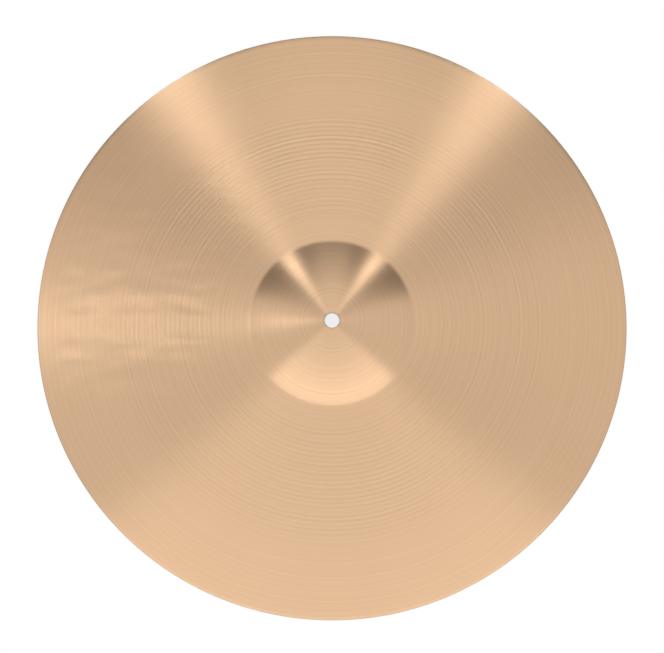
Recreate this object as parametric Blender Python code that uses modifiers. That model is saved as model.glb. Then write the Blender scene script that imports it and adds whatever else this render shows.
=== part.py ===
"""Ride cymbal, 20 inch, turned from one piece of cast bronze.

Metres, +Z up. The cymbal stands on its rim with the bell upwards: z = 0 is the plane that the
rim touches, and the Z axis runs through the middle of the hole.

The whole shape is one turned profile. Its upper side is a chain of arcs that meet tangent to
each other: a domed bell with a flat seat round the hole, a small fillet at the bell's foot, and
the long shallow bow, which ends in a rounded edge. The underside follows the upper side at the
thickness of the metal, which is greatest in the bell and tapers along the bow to a thin edge.
"""
import math

import bpy

# Outline
CYMBAL_DIAMETER = 0.508
HOLE_DIAMETER = 0.0127
SEAT_DIAMETER = 0.023
HOLE_CHAMFER = 0.0003

# Bell
BELL_DIAMETER = 0.142
BELL_HEIGHT = 0.0180
BELL_FILLET_RADIUS = 0.010

# Bow
BOW_RADIUS = 1.90
RIM_SLOPE = math.radians(10.0)

# Thickness of the metal
BELL_THICKNESS = 0.0018
RIM_THICKNESS = 0.0010

# Fineness of the turned surface
TURN_STEPS = 96
DOME_POINTS = 8
FILLET_POINTS = 4
BOW_POINTS = 8
SHARP_ANGLE = math.radians(30.0)

# Finish
BRONZE_COLOUR = (0.665, 0.434, 0.262, 1.0)
BRONZE_ROUGHNESS = 0.32

RIM_RADIUS = CYMBAL_DIAMETER / 2
HOLE_RADIUS = HOLE_DIAMETER / 2
SEAT_RADIUS = SEAT_DIAMETER / 2
BELL_RADIUS = BELL_DIAMETER / 2
EDGE_RADIUS = RIM_THICKNESS / 2


def clear_scene():
    for old in list(bpy.data.objects):
        bpy.data.objects.remove(old, do_unlink=True)


def direction(angle):
    """The unit vector at an angle from +Z towards the rim, as (radius, height)."""
    return math.sin(angle), math.cos(angle)


def along(point, vector, distance):
    return point[0] + vector[0] * distance, point[1] + vector[1] * distance


def arc(centre, radius, start, end, count, hollow=False):
    """Points on an arc, each with the normal that leaves the metal upwards."""
    side = -1.0 if hollow else 1.0
    samples = []
    for step in range(count):
        outward = direction(start + (end - start) * step / (count - 1))
        normal = (outward[0] * side, outward[1] * side)
        samples.append((along(centre, outward, radius), normal))
    return samples


def bearing(centre, point):
    """The angle from +Z at which a point is seen from a centre."""
    return math.atan2(point[0] - centre[0], point[1] - centre[1])


def tangent_centre(centre_a, reach_a, centre_b, reach_b):
    """Of the two places at both reaches from two centres, the one nearer the rim."""
    run = centre_b[0] - centre_a[0]
    rise = centre_b[1] - centre_a[1]
    gap = math.hypot(run, rise)
    unit = (run / gap, rise / gap)
    foot = (reach_a ** 2 - reach_b ** 2 + gap ** 2) / (2 * gap)
    offset = math.sqrt(reach_a ** 2 - foot ** 2)
    base = along(centre_a, unit, foot)
    across = (-unit[1], unit[0])
    sides = (along(base, across, offset), along(base, across, -offset))
    return max(sides, key=lambda place: place[0])


def bow_centre():
    """Centre of the bow's arc, which meets the rounded edge at the rim's slope."""
    edge_centre = (RIM_RADIUS - EDGE_RADIUS, EDGE_RADIUS)
    return along(edge_centre, direction(RIM_SLOPE), EDGE_RADIUS - BOW_RADIUS)


def bell_sphere():
    """Centre and radius of the bell's dome, which meets the bow at the bell's foot."""
    centre = bow_centre()
    foot_height = centre[1] + math.sqrt(BOW_RADIUS ** 2 - (BELL_RADIUS - centre[0]) ** 2)
    radius = (BELL_RADIUS ** 2 + BELL_HEIGHT ** 2) / (2 * BELL_HEIGHT)
    return (0.0, foot_height + BELL_HEIGHT - radius), radius


def upper_surface():
    """The dome, the fillet and the bow, from the seat outwards."""
    dome_centre, dome_radius = bell_sphere()
    bow = bow_centre()
    fillet = tangent_centre(
        dome_centre, dome_radius + BELL_FILLET_RADIUS, bow, BOW_RADIUS + BELL_FILLET_RADIUS
    )
    dome_start = math.asin(SEAT_RADIUS / dome_radius)
    dome_end = bearing(dome_centre, fillet)
    bow_start = bearing(bow, fillet)
    dome = arc(dome_centre, dome_radius, dome_start, dome_end, DOME_POINTS)
    curve = arc(
        fillet, BELL_FILLET_RADIUS, dome_end + math.pi, bow_start + math.pi, FILLET_POINTS, hollow=True
    )
    long_arc = arc(bow, BOW_RADIUS, bow_start, RIM_SLOPE, BOW_POINTS)
    return dome + curve[1:-1] + long_arc


def thickness(radius):
    """Even in the bell, then an even taper along the bow."""
    share = (radius - BELL_RADIUS) / (RIM_RADIUS - BELL_RADIUS)
    return BELL_THICKNESS + (RIM_THICKNESS - BELL_THICKNESS) * max(0.0, share)


def underside(samples):
    """The upper surface set back along its normals by the thickness of the metal."""
    return [along(point, normal, -thickness(point[0])) for point, normal in samples]


def rounded_edge():
    """The rim's outer face, from the bow's upper side down to the circle that rests at z = 0."""
    centre = (RIM_RADIUS - EDGE_RADIUS, EDGE_RADIUS)
    quarter = math.pi / 2
    bearings = ((RIM_SLOPE + quarter) / 2, quarter, quarter * 1.5, math.pi)
    return [along(centre, direction(angle), EDGE_RADIUS) for angle in bearings]


def cymbal_profile():
    """The closed section: hole, seat, bell, bow and edge, then the underside back to the hole."""
    samples = upper_surface()
    top = [point for point, normal in samples]
    below = underside(samples)
    seat_top = top[0][1]
    seat_below = seat_top - BELL_THICKNESS
    below[0] = (SEAT_RADIUS, seat_below)
    hole_top = [(HOLE_RADIUS, seat_top - HOLE_CHAMFER), (HOLE_RADIUS + HOLE_CHAMFER, seat_top)]
    hole_below = [(HOLE_RADIUS + HOLE_CHAMFER, seat_below), (HOLE_RADIUS, seat_below + HOLE_CHAMFER)]
    return hole_top + top + rounded_edge() + below[::-1] + hole_below


def turned(name, profile):
    """A closed profile at +X, turned once about the Z axis."""
    mesh = bpy.data.meshes.new(name)
    verts = [(radius, 0.0, height) for radius, height in profile]
    edges = [(i, (i + 1) % len(verts)) for i in range(len(verts))]
    mesh.from_pydata(verts, edges, [])
    obj = bpy.data.objects.new(name, mesh)
    screw = obj.modifiers.new("turn", "SCREW")
    screw.axis = "Z"
    screw.angle = math.tau
    screw.steps = TURN_STEPS
    screw.render_steps = TURN_STEPS
    screw.merge_threshold = 0.0001
    return obj


def shade(obj):
    """Fixes the turned mesh and shades it smooth, with the hole's corners left crisp."""
    depsgraph = bpy.context.evaluated_depsgraph_get()
    profile = obj.data
    mesh = bpy.data.meshes.new_from_object(obj.evaluated_get(depsgraph))
    obj.modifiers.clear()
    obj.data = mesh
    bpy.data.meshes.remove(profile)
    mesh.name = obj.name
    mesh.shade_smooth()
    mesh.set_sharp_from_angle(angle=SHARP_ANGLE)


def bronze():
    material = bpy.data.materials.new("lathed_bronze")
    material.use_nodes = True
    shader = material.node_tree.nodes["Principled BSDF"]
    shader.inputs["Base Color"].default_value = BRONZE_COLOUR
    shader.inputs["Metallic"].default_value = 1.0
    shader.inputs["Roughness"].default_value = BRONZE_ROUGHNESS
    return material


def build():
    clear_scene()
    parts = bpy.data.collections.new("Ride Cymbal")
    bpy.context.scene.collection.children.link(parts)
    cymbal = turned("cymbal", cymbal_profile())
    parts.objects.link(cymbal)
    bpy.context.view_layer.update()
    shade(cymbal)
    cymbal.data.materials.append(bronze())


build()
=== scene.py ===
"""Ride cymbal: the turned bronze disc with its lathe finish, on a plain pale floor.

Metres, +Z up, in the same frame as the packed part: the rim rests on z = 0 and the Z axis runs
through the middle of the hole. The disc is one drawn profile that is spun round that axis. The
finish is a metal that streaks along its radii, as any surface does that a lathe has turned.
"""
import math

import bpy
import numpy as np
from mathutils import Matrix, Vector


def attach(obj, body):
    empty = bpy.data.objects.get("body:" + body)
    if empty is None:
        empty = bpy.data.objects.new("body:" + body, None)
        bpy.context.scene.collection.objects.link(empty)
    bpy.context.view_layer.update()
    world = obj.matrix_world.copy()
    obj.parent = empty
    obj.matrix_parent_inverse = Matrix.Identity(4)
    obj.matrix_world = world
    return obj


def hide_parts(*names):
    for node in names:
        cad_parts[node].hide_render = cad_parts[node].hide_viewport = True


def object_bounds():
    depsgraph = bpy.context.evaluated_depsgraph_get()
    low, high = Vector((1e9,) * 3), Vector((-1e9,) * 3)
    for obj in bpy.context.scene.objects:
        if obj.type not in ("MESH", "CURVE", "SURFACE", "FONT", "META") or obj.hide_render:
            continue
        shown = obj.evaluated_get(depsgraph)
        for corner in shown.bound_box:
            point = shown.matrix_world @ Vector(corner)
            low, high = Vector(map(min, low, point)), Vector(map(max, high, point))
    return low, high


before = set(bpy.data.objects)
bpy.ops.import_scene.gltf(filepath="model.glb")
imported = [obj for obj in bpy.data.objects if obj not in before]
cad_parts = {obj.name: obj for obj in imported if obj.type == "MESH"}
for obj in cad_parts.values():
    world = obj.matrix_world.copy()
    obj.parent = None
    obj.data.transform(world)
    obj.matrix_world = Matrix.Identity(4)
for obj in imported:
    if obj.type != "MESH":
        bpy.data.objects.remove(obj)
CAD_LOW, CAD_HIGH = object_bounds()

bl_info = {
    "name": "Lathed Ride Cymbal",
    "version": (1, 0, 0),
    "blender": (4, 5, 0),
    "location": "3D View > Sidebar > Cymbal",
    "description": "Turns a bronze ride cymbal, gives it its lathe finish and lights it",
    "category": "Object",
}

PIECE_NAME = "turned_cymbal"
BAKE_MAP = "OFBake"

# Fineness of the turned mesh
TURN_STEPS = 360
DOME_POINTS = 26
FILLET_POINTS = 9
POINTS_PER_GROOVE = 4
OUTER_BOW_POINTS = 24
EDGE_POINTS = 7
LOWER_DOME_POINTS = 20
LOWER_FILLET_POINTS = 6
LOWER_BOW_POINTS = 40
MERGE_DISTANCE = 0.00001
SHARP_ANGLE = math.radians(30.0)
UV_MARGIN = 0.002
HALF_TURN = 0.5

# Hammer waves: the radii over which they rise and fall, and how they gather on the left
HAMMER_INNER_BAND = (0.085, 0.125)
HAMMER_OUTER_BAND = (0.222, 0.250)
HAMMER_STRETCH = 4.0
HAMMER_AZIMUTH = math.radians(176.0)
HAMMER_FALLOFF = 5
HAMMER_EVERYWHERE = 0.05
WEIGHT_LEVELS = 24

# Bronze: breadths in metres, and shares of each tone and of the painted shade
QUARTER_TURN = 0.25
RING_MIDDLE = 0.5
BROAD_RING = 0.0062
BROAD_SHARE = 0.45
PATCH_SCALE = 7.0
NOISE_DETAIL = 2.0
WARM_SHARE = 0.55
# Painted shade: its share along the fine lines, in the bottoms of the tonal grooves and on the rim and the
# hole's corners
LINE_CONTRAST = 0.55
LINE_SHADE_SHARE = 0.16
TROUGH_SHADE_SHARE = 0.13
BAND_FADE = 0.020
EDGE_BREADTH = 0.0007
EDGE_SHADE_SHARE = 0.85

# Sockets of a Mix node that mixes colours
MIX_FIRST = 6
MIX_SECOND = 7
MIX_RESULT = 2

# Floor and room, whose back wall begins where a direction's Y share reaches these values
WHITE = (1.0, 1.0, 1.0, 1.0)
FLOOR_GREY = (0.9, 0.9, 0.9, 1.0)
BACK_WALL_BEGINS = 0.34
BACK_WALL_FULL = 0.52

# Lamps: azimuth from +X and angle from straight up in degrees, width and length in metres, level
LAMP_DISTANCE = 2.0
LAMPS = {
    "strip_right_high": (60.0, 24.0, 0.30, 0.40, 0.35),
    "strip_right_low": (60.0, 54.0, 0.24, 0.50, 7.0),
    "strip_left_high": (119.0, 24.0, 0.30, 0.40, 0.40),
    "strip_left_low": (119.0, 54.0, 0.24, 0.50, 7.0),
    "front_right": (308.0, 48.0, 0.95, 0.80, 1.6),
    "front_middle": (270.0, 48.0, 1.10, 0.80, 1.6),
    "front_left": (232.0, 48.0, 0.95, 0.80, 1.6),
    "back": (90.0, 28.0, 0.80, 0.45, 1.8),
    "back_low": (90.0, 54.0, 0.70, 0.40, 0.9),
    "side_left": (167.0, 34.0, 0.20, 0.50, 2.4),
}


class CymbalShape(bpy.types.PropertyGroup):
    """Sizes of the turned disc"""
    diameter: bpy.props.FloatProperty(
        name="Diameter", description="Across the rim",
        default=CAD_HIGH.x - CAD_LOW.x, unit="LENGTH")
    hole_diameter: bpy.props.FloatProperty(
        name="Hole", description="Bore for the stand's rod", default=0.0127, unit="LENGTH")
    hole_chamfer: bpy.props.FloatProperty(
        name="Hole chamfer", description="Broken corner of the bore", default=0.0003, unit="LENGTH")
    seat_diameter: bpy.props.FloatProperty(
        name="Seat", description="Flat ring round the hole", default=0.023, unit="LENGTH")
    bell_diameter: bpy.props.FloatProperty(
        name="Bell", description="Across the foot of the bell", default=0.142, unit="LENGTH")
    bell_height: bpy.props.FloatProperty(
        name="Bell height", description="From the bell's foot to its top", default=0.018, unit="LENGTH")
    fillet_radius: bpy.props.FloatProperty(
        name="Fillet", description="Radius at the foot of the bell", default=0.010, unit="LENGTH")
    bow_radius: bpy.props.FloatProperty(
        name="Bow radius", description="Radius of the long arc of the bow", default=1.90, unit="LENGTH")
    rim_slope: bpy.props.FloatProperty(
        name="Rim slope", description="Slope of the bow where it meets the edge",
        default=math.radians(10.0), subtype="ANGLE")
    bell_thickness: bpy.props.FloatProperty(
        name="Bell metal", description="Thickness of the metal in the bell", default=0.0018, unit="LENGTH")
    rim_thickness: bpy.props.FloatProperty(
        name="Rim metal", description="Thickness of the metal at the edge", default=0.0010, unit="LENGTH")


class CymbalTooling(bpy.types.PropertyGroup):
    """Marks that the lathe and the hammer leave"""
    first_crest: bpy.props.FloatProperty(
        name="First groove", description="Radius of the innermost tonal groove",
        default=0.078, unit="LENGTH")
    groove_pitch: bpy.props.FloatProperty(
        name="Groove pitch", description="From one tonal groove to the next", default=0.0039, unit="LENGTH")
    groove_depth: bpy.props.FloatProperty(
        name="Groove depth", description="Depth of a tonal groove", default=0.00012, unit="LENGTH")
    groove_count: bpy.props.IntProperty(
        name="Grooves", description="Number of tonal grooves on the bow", default=30)
    fading_grooves: bpy.props.IntProperty(
        name="Fading grooves", description="Grooves over which the depth grows at either end", default=6)
    hammer_depth: bpy.props.FloatProperty(
        name="Hammering", description="Height of the soft waves that the hammer leaves",
        default=0.0007, unit="LENGTH")
    hammer_size: bpy.props.FloatProperty(
        name="Hammer mark", description="Breadth of one soft wave", default=0.012, unit="LENGTH")


class CymbalFinish(bpy.types.PropertyGroup):
    """Colour and polish of the bronze"""
    bronze: bpy.props.FloatVectorProperty(
        name="Bronze", description="Colour of the turned bronze", subtype="COLOR",
        size=3, default=(0.675, 0.464, 0.294))
    warm_bronze: bpy.props.FloatVectorProperty(
        name="Warm bronze", description="Redder tone of soft patches and rings", subtype="COLOR",
        size=3, default=(0.668, 0.425, 0.255))
    # Painted shade: the colour that the bottoms of the lines and grooves, the rim and the hole's corners
    # darken towards
    painted_shade_colour: bpy.props.FloatVectorProperty(
        name="Dark line", description="Tone at the bottom of a turning line", subtype="COLOR",
        size=3, default=(0.500, 0.330, 0.200))
    roughness: bpy.props.FloatProperty(
        name="Roughness", description="Mean roughness of the turned metal", subtype="FACTOR", default=0.33)
    line_roughness: bpy.props.FloatProperty(
        name="Line contrast", description="Change of roughness across the fine lines",
        subtype="FACTOR", default=0.10)
    anisotropy: bpy.props.FloatProperty(
        name="Anisotropy", description="How far a highlight is drawn out along the radius",
        subtype="FACTOR", default=0.92)
    line_width: bpy.props.FloatProperty(
        name="Fine line", description="Breadth of a fine turning line", default=0.0018, unit="LENGTH")
    line_depth: bpy.props.FloatProperty(
        name="Fine line depth", description="Depth of a fine turning line", default=0.00005, unit="LENGTH")


class CymbalStage(bpy.types.PropertyGroup):
    """Camera, floor and studio light"""
    camera_tilt: bpy.props.FloatProperty(
        name="Camera tilt", description="Tilt of the view from straight down, towards the front",
        default=math.radians(7.5), subtype="ANGLE")
    camera_distance: bpy.props.FloatProperty(
        name="Camera distance", description="From the middle of the rim to the camera",
        default=6.0, unit="LENGTH")
    view_width: bpy.props.FloatProperty(
        name="View width", description="Width of the picture at the rim's plane",
        default=0.5726, unit="LENGTH")
    aim_forward: bpy.props.FloatProperty(
        name="Aim", description="How far behind the middle of the rim the camera aims",
        default=0.0002, unit="LENGTH")
    floor_size: bpy.props.FloatProperty(
        name="Floor", description="Side of the square floor", default=80.0, unit="LENGTH")
    floor_white: bpy.props.FloatProperty(
        name="Floor white", description="Share of the floor that is plain white to the camera",
        subtype="FACTOR", default=0.85)
    room_level: bpy.props.FloatProperty(
        name="Room level", description="Light of the room's front and sides", default=1.0)
    back_level: bpy.props.FloatProperty(
        name="Back level", description="Light of the room's darker back wall", default=0.05)


def direction(angle):
    """The unit vector at an angle from +Z towards the rim, as (radius, height)."""
    return math.sin(angle), math.cos(angle)


def along(point, vector, distance):
    """The place at a distance from a point."""
    return point[0] + vector[0] * distance, point[1] + vector[1] * distance


def arc(centre, radius, start, end, count, side=1.0):
    """Points on an arc, each with the normal that leaves the metal upwards."""
    samples = []
    for step in range(count):
        outward = direction(start + (end - start) * step / (count - 1))
        samples.append((along(centre, outward, radius), (outward[0] * side, outward[1] * side)))
    return samples


def bow_centre(shape):
    """Centre of the bow's arc, which meets the rounded edge at the rim's slope."""
    edge = shape.rim_thickness / 2
    return along((shape.diameter / 2 - edge, edge), direction(shape.rim_slope), edge - shape.bow_radius)


def bell_sphere(shape):
    """Centre and radius of the bell's dome, which meets the bow at the bell's foot."""
    centre = bow_centre(shape)
    foot_radius = shape.bell_diameter / 2
    foot_height = centre[1] + math.sqrt(shape.bow_radius ** 2 - (foot_radius - centre[0]) ** 2)
    radius = (foot_radius ** 2 + shape.bell_height ** 2) / (2 * shape.bell_height)
    return (0.0, foot_height + shape.bell_height - radius), radius


def fillet_centre(shape):
    """Centre of the arc that touches both the dome and the bow."""
    dome, dome_radius = bell_sphere(shape)
    bow = bow_centre(shape)
    reach_dome = dome_radius + shape.fillet_radius
    reach_bow = shape.bow_radius + shape.fillet_radius
    run, rise = bow[0] - dome[0], bow[1] - dome[1]
    gap = math.hypot(run, rise)
    foot = (reach_dome ** 2 - reach_bow ** 2 + gap ** 2) / (2 * gap)
    offset = math.sqrt(reach_dome ** 2 - foot ** 2)
    base = along(dome, (run / gap, rise / gap), foot)
    across = (-rise / gap, run / gap)
    return max(along(base, across, offset), along(base, across, -offset))


def bearing(centre, point):
    """The angle from +Z at which a point is seen from a centre."""
    return math.atan2(point[0] - centre[0], point[1] - centre[1])


def bell_side(shape, dome_points, fillet_points):
    """The dome and its fillet, from the seat outwards, and the bearing where the bow begins."""
    dome, dome_radius = bell_sphere(shape)
    fillet = fillet_centre(shape)
    dome_end = bearing(dome, fillet)
    bow_start = bearing(bow_centre(shape), fillet)
    dome_start = math.asin(shape.seat_diameter / 2 / dome_radius)
    rise = arc(dome, dome_radius, dome_start, dome_end, dome_points)
    foot = arc(
        fillet, shape.fillet_radius, dome_end + math.pi, bow_start + math.pi, fillet_points, side=-1.0)
    return rise + foot[1:-1], bow_start


def groove_depth(tooling, place):
    """Depth at a place counted in grooves from the first crest."""
    from_end = min(place, tooling.groove_count - place)
    share = min(1.0, max(0.0, from_end / tooling.fading_grooves))
    return tooling.groove_depth * share * (0.5 - 0.5 * math.cos(math.tau * place))


def grooved_bow(shape, tooling, bow_start):
    """The upper side of the bow: its start, the band of tonal grooves and the plain outer part."""
    centre = bow_centre(shape)
    points = [along(centre, direction(bow_start), shape.bow_radius)]
    for step in range(tooling.groove_count * POINTS_PER_GROOVE):
        place = step / POINTS_PER_GROOVE
        radius = tooling.first_crest + place * tooling.groove_pitch
        angle = math.asin((radius - centre[0]) / shape.bow_radius)
        points.append(along(centre, direction(angle), shape.bow_radius - groove_depth(tooling, place)))
    band_end = tooling.first_crest + tooling.groove_count * tooling.groove_pitch
    outer_start = math.asin((band_end - centre[0]) / shape.bow_radius)
    outer = arc(centre, shape.bow_radius, outer_start, shape.rim_slope, OUTER_BOW_POINTS)
    return points + [point for point, normal in outer]


def lower_side(shape):
    """The upper side without grooves, set back by the thickness of the metal."""
    bell, bow_start = bell_side(shape, LOWER_DOME_POINTS, LOWER_FILLET_POINTS)
    bow = arc(bow_centre(shape), shape.bow_radius, bow_start, shape.rim_slope, LOWER_BOW_POINTS)
    bell_radius = shape.bell_diameter / 2
    taper_length = shape.diameter / 2 - bell_radius
    points = []
    for point, normal in bell + bow:
        share = max(0.0, (point[0] - bell_radius) / taper_length)
        thickness = shape.bell_thickness + (shape.rim_thickness - shape.bell_thickness) * share
        points.append(along(point, normal, -thickness))
    return points


def rounded_edge(shape):
    """The rim's outer face, down to the circle that rests on z = 0."""
    radius = shape.rim_thickness / 2
    centre = (shape.diameter / 2 - radius, radius)
    edge = arc(centre, radius, shape.rim_slope, math.pi, EDGE_POINTS)
    return [point for point, normal in edge[1:]]


def section(shape, tooling):
    """The closed outline of the metal, from the hole over the top, round the edge and back."""
    bell, bow_start = bell_side(shape, DOME_POINTS, FILLET_POINTS)
    top = [point for point, normal in bell] + grooved_bow(shape, tooling, bow_start)
    below = lower_side(shape)
    hole = shape.hole_diameter / 2
    corner = shape.hole_chamfer
    seat_top = top[0][1]
    seat_below = seat_top - shape.bell_thickness
    below[0] = (shape.seat_diameter / 2, seat_below)
    upper_corner = [(hole, seat_top - corner), (hole + corner, seat_top)]
    lower_corner = [(hole + corner, seat_below), (hole, seat_below + corner)]
    return upper_corner + top + rounded_edge(shape) + below[::-1] + lower_corner


def deselect_all():
    bpy.ops.object.select_all(action="DESELECT")


def spin_outline(name, outline):
    """Draws an outline by extruding one vertex along it, then spins it once round the Z axis."""
    deselect_all()
    bpy.ops.mesh.primitive_plane_add(size=MERGE_DISTANCE, location=(0.0, 0.0, 0.0))
    piece = bpy.context.active_object
    piece.name = name
    piece.data.name = name
    bpy.ops.object.mode_set(mode="EDIT")
    bpy.ops.mesh.select_all(action="SELECT")
    bpy.ops.mesh.merge(type="CENTER")
    bpy.ops.transform.translate(value=(outline[0][0], 0.0, outline[0][1]))
    for here, following in zip(outline, outline[1:] + outline[:1]):
        step = (following[0] - here[0], 0.0, following[1] - here[1])
        bpy.ops.mesh.extrude_region_move(TRANSFORM_OT_translate={"value": step})
    bpy.ops.mesh.select_all(action="SELECT")
    bpy.ops.mesh.remove_doubles(threshold=MERGE_DISTANCE)
    bpy.ops.mesh.spin(steps=TURN_STEPS, angle=math.tau, center=(0.0, 0.0, 0.0), axis=(0.0, 0.0, 1.0))
    bpy.ops.mesh.select_all(action="SELECT")
    bpy.ops.mesh.remove_doubles(threshold=MERGE_DISTANCE)
    bpy.ops.mesh.normals_make_consistent(inside=False)
    bpy.ops.object.mode_set(mode="OBJECT")
    return piece


def vertex_places(piece):
    """Each vertex's radius, azimuth and height."""
    places = np.zeros(len(piece.data.vertices) * 3, np.float32)
    piece.data.vertices.foreach_get("co", places)
    x, y, z = places.reshape(-1, 3).astype(float).T
    return np.hypot(x, y), np.arctan2(y, x) % math.tau, z


def unroll(piece, outline):
    """A map that runs round the disc in u and along the outline in v, without any overlap."""
    radius, azimuth, height = vertex_places(piece)
    turns = azimuth / math.tau
    marks = np.array(outline)
    lengths = np.hypot(*np.diff(np.vstack([marks, marks[:1]]), axis=0).T)
    starts = np.concatenate([[0.0], np.cumsum(lengths)])
    nearest = np.zeros(len(radius), int)
    distance = np.full(len(radius), np.inf)
    for index, (mark_radius, mark_height) in enumerate(marks):
        away = np.hypot(radius - mark_radius, height - mark_height)
        closer = away < distance
        nearest[closer] = index
        distance[closer] = away[closer]
    layer = piece.data.uv_layers.new(name=BAKE_MAP)
    last = len(outline) - 1
    span = 1.0 - 2 * UV_MARGIN
    for face in piece.data.polygons:
        corners = list(face.vertices)
        closes_turn = max(turns[corners]) - min(turns[corners]) > HALF_TURN
        closes_outline = max(nearest[corners]) == last and min(nearest[corners]) == 0
        for loop, vertex in zip(face.loop_indices, corners):
            turn = turns[vertex]
            if closes_turn and turn < HALF_TURN:
                turn += 1.0
            length = starts[nearest[vertex]]
            if closes_outline and nearest[vertex] == 0:
                length = starts[-1]
            layer.data[loop].uv = (UV_MARGIN + turn * span, UV_MARGIN + length / starts[-1] * span)


def ramp(value, low, high):
    """0 below low, 1 above high and smooth in between."""
    share = np.clip((value - low) / (high - low), 0.0, 1.0)
    return share * share * (3.0 - 2.0 * share)


def hammer(piece, tooling):
    """Soft waves through the metal of the bow, strongest on the left, none at the rim and bell.

    An empty that is stretched along X draws the waves out along the radius there.
    """
    radius, azimuth = vertex_places(piece)[:2]
    band = ramp(radius, *HAMMER_INNER_BAND) * (1.0 - ramp(radius, *HAMMER_OUTER_BAND))
    left = np.clip(np.cos(azimuth - HAMMER_AZIMUTH), 0.0, 1.0) ** HAMMER_FALLOFF
    weight = band * (HAMMER_EVERYWHERE + (1.0 - HAMMER_EVERYWHERE) * left)
    levels = np.rint(weight * WEIGHT_LEVELS).astype(int)
    group = piece.vertex_groups.new(name="hammered")
    for level in range(1, WEIGHT_LEVELS + 1):
        members = np.flatnonzero(levels == level).tolist()
        group.add(members, level / WEIGHT_LEVELS, "REPLACE")
    waves = bpy.data.textures.new("hammer_waves", "CLOUDS")
    waves.noise_scale = tooling.hammer_size
    waves.noise_depth = 1
    dents = piece.modifiers.new("hammering", "DISPLACE")
    dents.texture = waves
    bpy.ops.object.empty_add(type="PLAIN_AXES", location=(0.0, 0.0, 0.0))
    guide = bpy.context.active_object
    guide.scale = (HAMMER_STRETCH, 1.0, 1.0)
    dents.texture_coords = "OBJECT"
    dents.texture_coords_object = guide
    dents.direction = "Z"
    dents.strength = tooling.hammer_depth
    dents.vertex_group = group.name
    bpy.context.view_layer.update()
    bpy.context.view_layer.objects.active = piece
    bpy.ops.object.modifier_apply(modifier=dents.name)
    bpy.data.objects.remove(guide)
    piece.vertex_groups.clear()


def add_node(tree, kind, **settings):
    node = tree.nodes.new(kind)
    for name, value in settings.items():
        setattr(node, name, value)
    return node


def add_math(tree, operation, *values):
    """A Math node and its inputs, each a socket or a number."""
    node = add_node(tree, "ShaderNodeMath", operation=operation)
    for socket, value in zip(node.inputs, values):
        if isinstance(value, bpy.types.NodeSocket):
            tree.links.new(value, socket)
        else:
            socket.default_value = value
    return node.outputs[0]


def flat_radius(tree):
    """Distance from the Z axis."""
    place = add_node(tree, "ShaderNodeTexCoord")
    flat = add_node(tree, "ShaderNodeVectorMath", operation="MULTIPLY")
    flat.inputs[1].default_value = (1.0, 1.0, 0.0)
    reach = add_node(tree, "ShaderNodeVectorMath", operation="LENGTH")
    tree.links.new(place.outputs["Object"], flat.inputs[0])
    tree.links.new(flat.outputs["Vector"], reach.inputs[0])
    return reach.outputs["Value"]


def ring_group():
    """Rings at uneven spacing round the Z axis: input a breadth, output a value from 0 to 1."""
    group = bpy.data.node_groups.new("turning_rings", "ShaderNodeTree")
    group.interface.new_socket("Breadth", in_out="INPUT", socket_type="NodeSocketFloat")
    group.interface.new_socket("Rings", in_out="OUTPUT", socket_type="NodeSocketFloat")
    entry = add_node(group, "NodeGroupInput")
    leave = add_node(group, "NodeGroupOutput")
    count = add_math(group, "DIVIDE", flat_radius(group), entry.outputs["Breadth"])
    noise = add_node(group, "ShaderNodeTexNoise", noise_dimensions="1D")
    noise.inputs["Scale"].default_value = 1.0
    noise.inputs["Detail"].default_value = NOISE_DETAIL
    group.links.new(count, noise.inputs["W"])
    group.links.new(noise.outputs[0], leave.inputs["Rings"])
    return group


def trough_group():
    """The bottoms of the tonal grooves, where painted shade goes: input the first crest, pitch and end,
    output 0 to 1.
    """
    group = bpy.data.node_groups.new("groove_troughs", "ShaderNodeTree")
    for name in ("First", "Pitch", "End"):
        group.interface.new_socket(name, in_out="INPUT", socket_type="NodeSocketFloat")
    group.interface.new_socket("Troughs", in_out="OUTPUT", socket_type="NodeSocketFloat")
    entry = add_node(group, "NodeGroupInput")
    leave = add_node(group, "NodeGroupOutput")
    radius = flat_radius(group)
    past = add_math(group, "SUBTRACT", radius, entry.outputs["First"])
    turn = add_math(group, "MULTIPLY", add_math(group, "DIVIDE", past, entry.outputs["Pitch"]), math.tau)
    trough = add_math(group, "MULTIPLY_ADD", add_math(group, "COSINE", turn), -0.5, 0.5)
    rise = add_math(group, "DIVIDE", past, BAND_FADE)
    fall = add_math(group, "DIVIDE", add_math(group, "SUBTRACT", entry.outputs["End"], radius), BAND_FADE)
    band = add_math(group, "MINIMUM", rise, fall)
    band.node.use_clamp = True
    group.links.new(add_math(group, "MULTIPLY", trough, band), leave.inputs["Troughs"])
    return group


def shaded_edge_mask(tree, shape):
    """1 on the rounded rim and on the corners of the hole, which get a painted shade."""
    radius = flat_radius(tree)
    rim = add_math(tree, "GREATER_THAN", radius, shape.diameter / 2 - EDGE_BREADTH)
    hole = add_math(tree, "LESS_THAN", radius, shape.hole_diameter / 2 + EDGE_BREADTH)
    return add_math(tree, "MAXIMUM", rim, hole)


def add_rings(tree, rings, breadth):
    """The ring pattern of a group at one breadth."""
    node = add_node(tree, "ShaderNodeGroup", node_tree=rings)
    node.inputs["Breadth"].default_value = breadth
    return node.outputs["Rings"]


def mix_colours(tree, share, first, second):
    """A mix of two colours, each a socket or a plain colour."""
    mix = add_node(tree, "ShaderNodeMix", data_type="RGBA")
    tree.links.new(share, mix.inputs[0])
    for index, colour in ((MIX_FIRST, first), (MIX_SECOND, second)):
        if isinstance(colour, bpy.types.NodeSocket):
            tree.links.new(colour, mix.inputs[index])
        else:
            mix.inputs[index].default_value = (*colour, 1.0)
    return mix.outputs[MIX_RESULT]


def ringed_normal(tree, fine, broad, finish):
    """The relief of the turning lines."""
    height = add_math(tree, "MULTIPLY_ADD", broad, BROAD_SHARE, fine)
    bump = add_node(tree, "ShaderNodeBump")
    bump.inputs["Distance"].default_value = finish.line_depth
    tree.links.new(height, bump.inputs["Height"])
    return bump.outputs["Normal"]


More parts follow.
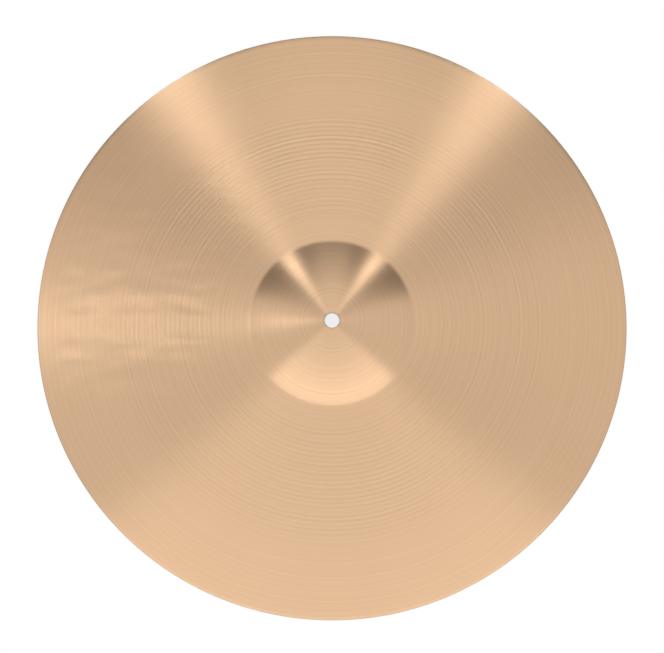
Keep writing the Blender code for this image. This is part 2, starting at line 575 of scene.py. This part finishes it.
def bronze_tone(tree, broad, finish):
    """The bronze, warmer in soft patches and broad rings."""
    place = add_node(tree, "ShaderNodeTexCoord")
    patches = add_node(tree, "ShaderNodeTexNoise")
    patches.inputs["Scale"].default_value = PATCH_SCALE
    patches.inputs["Detail"].default_value = NOISE_DETAIL
    tree.links.new(place.outputs["Object"], patches.inputs["Vector"])
    warmth = add_math(tree, "MULTIPLY", patches.outputs[0], WARM_SHARE)
    warmth = add_math(tree, "ADD", warmth, add_math(tree, "MULTIPLY", broad, 1.0 - WARM_SHARE))
    return mix_colours(tree, warmth, finish.bronze, finish.warm_bronze)


def painted_shade_share(tree, centred, tooling, shape):
    """How much painted shade each place gets: along the fine lines, in the tonal grooves, on the rim and on
    the hole's corners.
    """
    troughs = add_node(tree, "ShaderNodeGroup", node_tree=trough_group())
    troughs.inputs["First"].default_value = tooling.first_crest
    troughs.inputs["Pitch"].default_value = tooling.groove_pitch
    troughs.inputs["End"].default_value = tooling.first_crest + tooling.groove_count * tooling.groove_pitch
    lines = add_math(tree, "MULTIPLY_ADD", centred, LINE_CONTRAST, LINE_SHADE_SHARE)
    # Painted shade in the bottoms of the tonal grooves
    dark = add_math(tree, "ADD", lines, add_math(tree, "MULTIPLY", troughs.outputs[0], TROUGH_SHADE_SHARE))
    # Painted shade on the rim and the hole's corners
    dark = add_math(tree, "ADD", dark, add_math(tree, "MULTIPLY", shaded_edge_mask(tree, shape), EDGE_SHADE_SHARE))
    dark.node.use_clamp = True
    return dark


def bronze_material(finish, tooling, shape):
    """Turned bronze: streaks along the radii, fine rings, a warmer tone in soft patches, and painted shade
    in the lines, the grooves and on the edges.
    """
    material = bpy.data.materials.new("turned_bronze")
    material.use_nodes = True
    tree = material.node_tree
    shader = tree.nodes["Principled BSDF"]
    shader.inputs["Metallic"].default_value = 1.0
    shader.inputs["Anisotropic"].default_value = finish.anisotropy
    shader.inputs["Anisotropic Rotation"].default_value = QUARTER_TURN
    tangent = add_node(tree, "ShaderNodeTangent", direction_type="RADIAL", axis="Z")
    tree.links.new(tangent.outputs[0], shader.inputs["Tangent"])
    rings = ring_group()
    fine = add_rings(tree, rings, finish.line_width)
    broad = add_rings(tree, rings, BROAD_RING)
    tree.links.new(ringed_normal(tree, fine, broad, finish), shader.inputs["Normal"])
    centred = add_math(tree, "SUBTRACT", fine, RING_MIDDLE)
    roughness = add_math(tree, "MULTIPLY_ADD", centred, finish.line_roughness, finish.roughness)
    tree.links.new(roughness, shader.inputs["Roughness"])
    tone = bronze_tone(tree, broad, finish)
    # Painted shade: the bronze darkens towards the shade colour in the line and groove bottoms and on the
    # edges
    dark = painted_shade_share(tree, centred, tooling, shape)
    tree.links.new(mix_colours(tree, dark, tone, finish.painted_shade_colour), shader.inputs["Base Color"])
    return material


class CYMBAL_OT_turn(bpy.types.Operator):
    """Turn the disc: bell, grooved bow, edge and underside in one piece of metal"""
    bl_idname = "cymbal.turn"
    bl_label = "Turn the cymbal"

    def execute(self, context):
        scene = context.scene
        outline = section(scene.cymbal_shape, scene.cymbal_tooling)
        piece = spin_outline(PIECE_NAME, outline)
        unroll(piece, outline)
        hammer(piece, scene.cymbal_tooling)
        deselect_all()
        piece.select_set(True)
        context.view_layer.objects.active = piece
        bpy.ops.object.shade_smooth_by_angle(angle=SHARP_ANGLE)
        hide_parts("cymbal")
        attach(piece, "root")
        return {"FINISHED"}


class CYMBAL_OT_finish(bpy.types.Operator):
    """Give the disc its turned bronze finish"""
    bl_idname = "cymbal.finish"
    bl_label = "Finish the bronze"

    def execute(self, context):
        piece = bpy.data.objects[PIECE_NAME]
        piece.data.materials.clear()
        scene = context.scene
        bronze = bronze_material(scene.cymbal_finish, scene.cymbal_tooling, scene.cymbal_shape)
        piece.data.materials.append(bronze)
        return {"FINISHED"}


def sky_place(azimuth, zenith, distance):
    """A place over the cymbal, by its azimuth from +X and its angle from straight up."""
    flat = math.sin(zenith) * distance
    return Vector((math.cos(azimuth) * flat, math.sin(azimuth) * flat, math.cos(zenith) * distance))


def add_lamp(name, azimuth, zenith, width, length, level):
    """A soft lamp that faces the cymbal, its length along the line from horizon to zenith.

    Its power follows its area, so that lamps of the same level shine equally at any size.
    """
    place = sky_place(math.radians(azimuth), math.radians(zenith), LAMP_DISTANCE)
    turn = (-place).to_track_quat("-Z", "Y").to_euler()
    bpy.ops.object.light_add(type="AREA", location=place, rotation=turn)
    lamp = bpy.context.active_object
    lamp.name = name
    lamp.data.name = name
    lamp.data.shape = "RECTANGLE"
    lamp.data.size = width
    lamp.data.size_y = length
    lamp.data.energy = level * math.pi * width * length
    lamp.visible_camera = False


def light_room(stage):
    """A room that is white in front and nearly dark at the back, and plain white to the camera."""
    world = bpy.data.worlds.new("plain_room")
    bpy.context.scene.world = world
    world.use_nodes = True
    tree = world.node_tree
    tree.nodes.clear()
    place = add_node(tree, "ShaderNodeTexCoord")
    split = add_node(tree, "ShaderNodeSeparateXYZ")
    tree.links.new(place.outputs["Generated"], split.inputs[0])
    wall = add_node(tree, "ShaderNodeMapRange", interpolation_type="SMOOTHSTEP")
    tree.links.new(split.outputs["Y"], wall.inputs["Value"])
    wall.inputs["From Min"].default_value = BACK_WALL_BEGINS
    wall.inputs["From Max"].default_value = BACK_WALL_FULL
    wall.inputs["To Min"].default_value = stage.room_level
    wall.inputs["To Max"].default_value = stage.back_level
    room = add_node(tree, "ShaderNodeBackground")
    tree.links.new(wall.outputs[0], room.inputs["Strength"])
    room.inputs["Color"].default_value = WHITE
    white = add_node(tree, "ShaderNodeBackground")
    white.inputs["Color"].default_value = WHITE
    path = add_node(tree, "ShaderNodeLightPath")
    choice = add_node(tree, "ShaderNodeMixShader")
    tree.links.new(path.outputs["Is Camera Ray"], choice.inputs[0])
    tree.links.new(room.outputs[0], choice.inputs[1])
    tree.links.new(white.outputs[0], choice.inputs[2])
    output = add_node(tree, "ShaderNodeOutputWorld")
    tree.links.new(choice.outputs[0], output.inputs["Surface"])


def floor_material(stage):
    """Pale floor: mostly plain white to the camera, with the rest lit and shaded."""
    material = bpy.data.materials.new("pale_floor")
    material.use_nodes = True
    tree = material.node_tree
    tree.nodes.clear()
    matt = add_node(tree, "ShaderNodeBsdfDiffuse")
    matt.inputs["Color"].default_value = FLOOR_GREY
    white = add_node(tree, "ShaderNodeEmission")
    path = add_node(tree, "ShaderNodeLightPath")
    seen = add_math(tree, "MAXIMUM", path.outputs["Is Camera Ray"], path.outputs["Is Transmission Ray"])
    share = add_math(tree, "MULTIPLY", seen, stage.floor_white)
    choice = add_node(tree, "ShaderNodeMixShader")
    tree.links.new(share, choice.inputs[0])
    tree.links.new(matt.outputs[0], choice.inputs[1])
    tree.links.new(white.outputs[0], choice.inputs[2])
    output = add_node(tree, "ShaderNodeOutputMaterial")
    tree.links.new(choice.outputs[0], output.inputs["Surface"])
    return material


def place_camera(stage):
    """A long lens over the cymbal, tilted a little towards the front."""
    aim = Vector((0.0, stage.aim_forward, 0.0))
    back = Vector((0.0, -math.sin(stage.camera_tilt), math.cos(stage.camera_tilt)))
    bpy.ops.object.camera_add(
        location=aim + back * stage.camera_distance, rotation=(stage.camera_tilt, 0.0, 0.0))
    camera = bpy.context.active_object
    camera.name = "camera"
    camera.data.lens = camera.data.sensor_width * stage.camera_distance / stage.view_width
    camera.data.clip_end = stage.floor_size
    bpy.context.scene.camera = camera


class CYMBAL_OT_stage(bpy.types.Operator):
    """Add the camera, the pale floor, the room and its lamps"""
    bl_idname = "cymbal.stage"
    bl_label = "Set the stage"

    def execute(self, context):
        stage = context.scene.cymbal_stage
        deselect_all()
        bpy.ops.mesh.primitive_plane_add(size=stage.floor_size, location=(0.0, 0.0, 0.0))
        floor = context.active_object
        floor.name = "floor"
        floor.data.materials.append(floor_material(stage))
        light_room(stage)
        for name, lamp in LAMPS.items():
            add_lamp(name, *lamp)
        place_camera(stage)
        context.scene.view_settings.view_transform = "Standard"
        return {"FINISHED"}


class CYMBAL_PT_sidebar(bpy.types.Panel):
    """Lists the steps and the sizes of the cymbal"""
    bl_label = "Lathed Ride Cymbal"
    bl_idname = "CYMBAL_PT_sidebar"
    bl_space_type = "VIEW_3D"
    bl_region_type = "UI"
    bl_category = "Cymbal"

    def draw(self, context):
        for operator in OPERATORS:
            self.layout.operator(operator.bl_idname)
        for name, group in SETTINGS.items():
            box = self.layout.box()
            box.label(text=group.__doc__)
            for setting in group.__annotations__:
                box.prop(getattr(context.scene, name), setting)


SETTINGS = {
    "cymbal_shape": CymbalShape,
    "cymbal_tooling": CymbalTooling,
    "cymbal_finish": CymbalFinish,
    "cymbal_stage": CymbalStage,
}
OPERATORS = (CYMBAL_OT_turn, CYMBAL_OT_finish, CYMBAL_OT_stage)


def register():
    for group in SETTINGS.values():
        bpy.utils.register_class(group)
    for operator in OPERATORS:
        bpy.utils.register_class(operator)
    bpy.utils.register_class(CYMBAL_PT_sidebar)
    for name, group in SETTINGS.items():
        setattr(bpy.types.Scene, name, bpy.props.PointerProperty(type=group))


def unregister():
    for name in SETTINGS:
        delattr(bpy.types.Scene, name)
    bpy.utils.unregister_class(CYMBAL_PT_sidebar)
    for operator in reversed(OPERATORS):
        bpy.utils.unregister_class(operator)
    for group in reversed(SETTINGS.values()):
        bpy.utils.unregister_class(group)


def main():
    register()
    bpy.ops.cymbal.turn()
    bpy.ops.cymbal.finish()
    bpy.ops.cymbal.stage()


if __name__ == "__main__":
    main()
